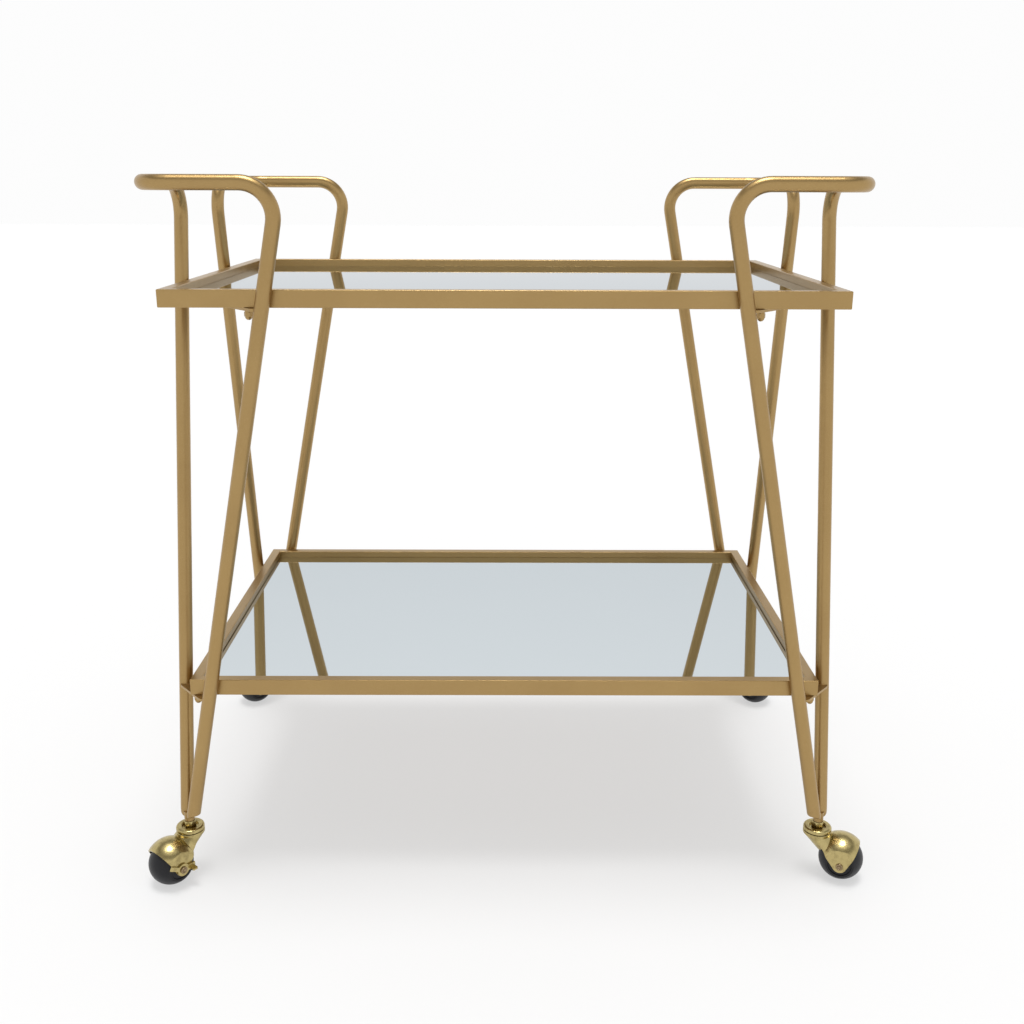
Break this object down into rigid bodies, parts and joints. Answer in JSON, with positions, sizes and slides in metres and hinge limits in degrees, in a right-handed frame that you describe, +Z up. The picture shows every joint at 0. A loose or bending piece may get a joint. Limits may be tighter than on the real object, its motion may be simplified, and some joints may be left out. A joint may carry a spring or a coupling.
{
  "type": "bar cart on wheels",
  "caption": "Two-tier rectangular bar cart: bent gold tube legs rise into corner handles, mirrored shelves in metal rims, hooded swivel casters.",
  "frame": {"origin": "on the floor, in the middle of the footprint at rest; the shelves' middle lies 16 mm to +Y of it", "axes": "+X to the cart's right along its length, +Y to its rear, +Z up"},
  "size_m": [0.8628, 0.5491, 0.814],
  "materials": {
    "frame_gold": "satin gold lacquer with a fine metallic grain",
    "bright_brass": "bright brass plating",
    "mirror": "silvered glass",
    "backing": "plain brown fibreboard",
    "zinc_steel": "bright zinc plating",
    "wheel_black": "satin black, non-marking",
    "bush_nylon": "black nylon"
  },
  "bodies": {
    "frame": {"leg_loop_front_left": "frame_gold", "upper_gusset_front_left": "frame_gold", "lower_gusset_front_left": "frame_gold", "leg_loop_front_right": "frame_gold", "upper_gusset_front_right": "frame_gold", "lower_gusset_front_right": "frame_gold", "leg_loop_rear_left": "frame_gold", "upper_gusset_rear_left": "frame_gold", "lower_gusset_rear_left": "frame_gold", "leg_loop_rear_right": "frame_gold", "upper_gusset_rear_right": "frame_gold", "lower_gusset_rear_right": "frame_gold", "top_rail_front": "frame_gold", "top_rail_right": "frame_gold", "top_rail_rear": "frame_gold", "top_rail_left": "frame_gold", "top_ledge": "frame_gold", "top_mirror": "mirror", "top_backing_board": "backing", "lower_rail_front": "frame_gold", "lower_rail_right": "frame_gold", "lower_rail_rear": "frame_gold", "lower_rail_left": "frame_gold", "lower_ledge": "frame_gold", "lower_mirror": "mirror", "lower_backing_board": "backing", "gusset_studs": "zinc_steel", "caster_stems": "zinc_steel", "stem_nuts": "bright_brass", "top_races": "bright_brass", "gusset_washers": "frame_gold", "gusset_acorn_nuts": "frame_gold", "stem_sockets": "frame_gold"},
    "caster_front_left": {"hood_front_left": "bright_brass", "swivel_balls_front_left": "zinc_steel", "axle_front_left": "bright_brass"},
    "wheel_front_left": {"wheel_front_left": "wheel_black", "wheel_bush_front_left": "bush_nylon"},
    "brake_front_left": {"brake_lever_front_left": "bright_brass"},
    "caster_front_right": {"hood_front_right": "bright_brass", "swivel_balls_front_right": "zinc_steel", "axle_front_right": "bright_brass"},
    "wheel_front_right": {"wheel_front_right": "wheel_black", "wheel_bush_front_right": "bush_nylon"},
    "brake_front_right": {"brake_lever_front_right": "bright_brass"},
    "caster_rear_left": {"hood_rear_left": "bright_brass", "swivel_balls_rear_left": "zinc_steel", "axle_rear_left": "bright_brass"},
    "wheel_rear_left": {"wheel_rear_left": "wheel_black", "wheel_bush_rear_left": "bush_nylon"},
    "caster_rear_right": {"hood_rear_right": "bright_brass", "swivel_balls_rear_right": "zinc_steel", "axle_rear_right": "bright_brass"},
    "wheel_rear_right": {"wheel_rear_right": "wheel_black", "wheel_bush_rear_right": "bush_nylon"}
  },
  "joints": [
    {"name": "caster_swivel_front_left", "type": "hinge", "parent": "frame", "child": "caster_front_left", "pos_m": [-0.379, -0.224, 0.058], "axis": [0, 0, 1], "continuous": true},
    {"name": "wheel_spin_front_left", "type": "hinge", "parent": "caster_front_left", "child": "wheel_front_left", "pos_m": [-0.39828, -0.24698, 0.026], "axis": [0.766, -0.6428, 0], "continuous": true},
    {"name": "brake_press_front_left", "type": "hinge", "parent": "caster_front_left", "child": "brake_front_left", "pos_m": [-0.39828, -0.24698, 0.026], "axis": [-0.766, 0.6428, 0], "range_deg": [0, 30]},
    {"name": "caster_swivel_front_right", "type": "hinge", "parent": "frame", "child": "caster_front_right", "pos_m": [0.379, -0.224, 0.058], "axis": [0, 0, 1], "continuous": true},
    {"name": "wheel_spin_front_right", "type": "hinge", "parent": "caster_front_right", "child": "wheel_front_right", "pos_m": [0.40719, -0.23426, 0.026], "axis": [0.342, 0.9397, 0], "continuous": true},
    {"name": "brake_press_front_right", "type": "hinge", "parent": "caster_front_right", "child": "brake_front_right", "pos_m": [0.40719, -0.23426, 0.026], "axis": [-0.342, -0.9397, 0], "range_deg": [0, 30]},
    {"name": "caster_swivel_rear_left", "type": "hinge", "parent": "frame", "child": "caster_rear_left", "pos_m": [-0.379, 0.256, 0.058], "axis": [0, 0, 1], "continuous": true},
    {"name": "wheel_spin_rear_left", "type": "hinge", "parent": "caster_rear_left", "child": "wheel_rear_left", "pos_m": [-0.40358, 0.23879, 0.026], "axis": [0.5736, -0.8192, 0], "continuous": true},
    {"name": "caster_swivel_rear_right", "type": "hinge", "parent": "frame", "child": "caster_rear_right", "pos_m": [0.379, 0.256, 0.058], "axis": [0, 0, 1], "continuous": true},
    {"name": "wheel_spin_rear_right", "type": "hinge", "parent": "caster_rear_right", "child": "wheel_rear_right", "pos_m": [0.40358, 0.23879, 0.026], "axis": [0.5736, 0.8192, 0], "continuous": true}
  ]
}
